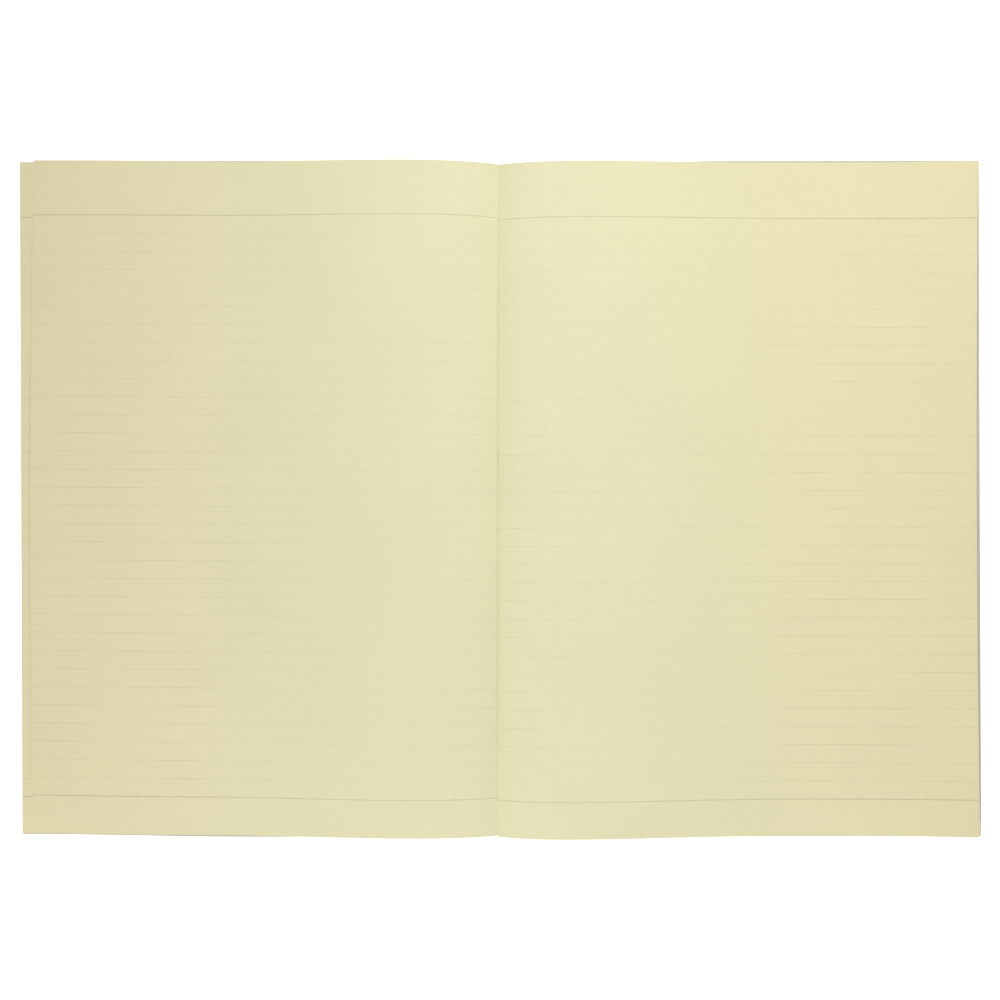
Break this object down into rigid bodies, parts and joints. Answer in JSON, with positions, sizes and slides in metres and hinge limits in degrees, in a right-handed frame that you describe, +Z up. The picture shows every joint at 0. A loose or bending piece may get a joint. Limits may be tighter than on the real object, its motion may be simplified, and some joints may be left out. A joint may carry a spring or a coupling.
{
  "type": "open composition notebook",
  "caption": "Tape-bound ruled notebook lying open: two arched leaf stacks rising from a glued spine, on card covers, with a front cover that closes.",
  "frame": {"origin": "centre of the open spread's underside, under the middle of the spine", "axes": "+X across the spread towards the right-hand fore-edge, +Y along the spine towards the head of the page, +Z up out of the open pages"},
  "size_m": [0.4256, 0.2994, 0.0097],
  "materials": {
    "cover_card": "matte uncoated card",
    "ruled_paper": "matte uncoated paper, ruled",
    "glue": "satin, slightly cloudy",
    "tape_cloth": "matte bookbinding cloth"
  },
  "bodies": {
    "back_half": {"back_cover": "cover_card", "right_pages": "ruled_paper", "spine_glue": "glue", "spine_tape": "tape_cloth"},
    "front_half": {"front_cover": "cover_card", "left_pages": "ruled_paper"}
  },
  "joints": [
    {"name": "front_cover_hinge", "type": "hinge", "parent": "back_half", "child": "front_half", "pos_m": [-0.0011, 0, 0.0022], "axis": [0, 1, 0], "range_deg": [0, 115]}
  ]
}
